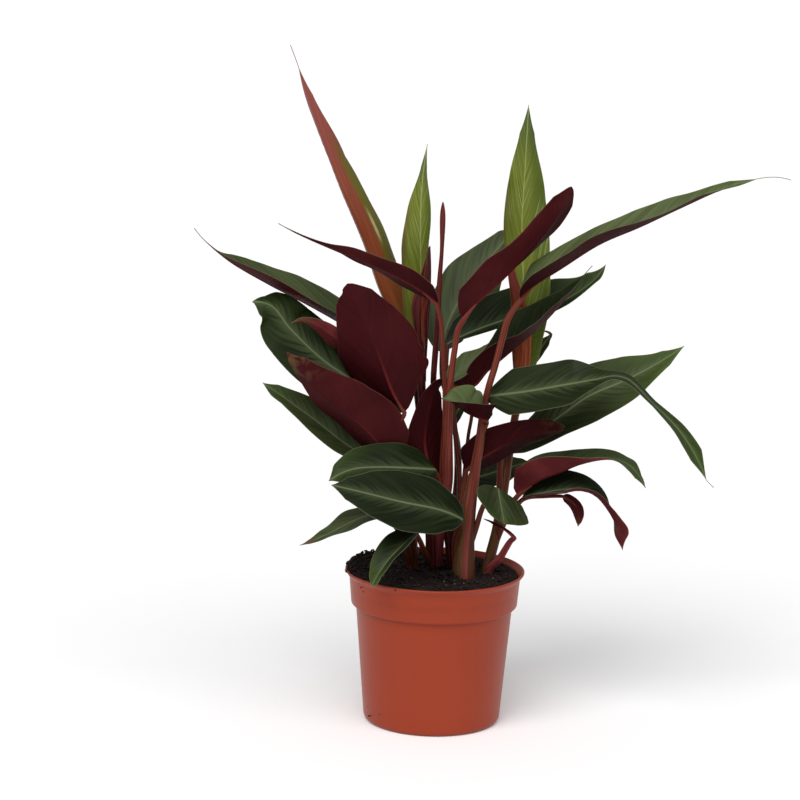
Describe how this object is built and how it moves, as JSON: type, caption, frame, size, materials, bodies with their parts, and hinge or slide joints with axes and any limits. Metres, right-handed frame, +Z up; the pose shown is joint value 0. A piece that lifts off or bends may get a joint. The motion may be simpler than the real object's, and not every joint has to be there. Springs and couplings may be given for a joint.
{
  "type": "potted stripestar calathea",
  "caption": "Clump of lance-shaped leaves, green with a pale stripe above and maroon below, on reddish stalks in a terracotta-coloured nursery pot.",
  "frame": {"origin": "middle of the pot's flat underside", "axes": "+Z up along the pot's axis, +X to the right and +Y away from someone who faces the plant"},
  "size_m": [0.3874, 0.1602, 0.4492],
  "materials": {
    "pot": "satin",
    "soil": "matte",
    "stalks": "satin",
    "leaves": "satin",
    "young_leaves": "satin",
    "spear": "satin"
  },
  "bodies": {
    "root": {"pot": "pot", "soil": "soil", "shoot_left": "stalks", "shoot_centre": "stalks", "shoot_back": "stalks", "shoot_front": "stalks", "shoot_right": "stalks", "rolled_leaf": "spear", "spear_leaf": "spear", "young_leaf_left": "young_leaves", "young_leaf_right": "young_leaves", "leaf_maroon_diagonal": "leaves", "leaf_maroon_long": "leaves", "leaf_long_right": "leaves", "leaf_back_sheen": "leaves", "leaf_back_dark": "leaves", "leaf_folded_right": "leaves", "leaf_small_sheen": "leaves", "leaf_long_left": "leaves", "leaf_left_green": "leaves", "leaf_left_small": "leaves", "leaf_maroon_large": "leaves", "leaf_maroon_low": "leaves", "leaf_left_low": "leaves", "leaf_maroon_upright": "leaves", "leaf_bent_centre": "leaves", "leaf_front_upper": "leaves", "leaf_front_lower": "leaves", "leaf_over_rim": "leaves", "leaf_thin_left": "leaves", "leaf_hanging_tip": "leaves", "leaf_right_back": "leaves", "leaf_maroon_right": "leaves", "leaf_twisted_right": "leaves", "leaf_drooping_right": "leaves", "leaf_small_hanging": "leaves", "leaf_front_round": "leaves", "leaf_narrow_dark": "leaves", "leaf_small_back": "leaves", "leaf_back_low": "leaves", "leaf_small_centre": "leaves"}
  },
  "joints": []
}
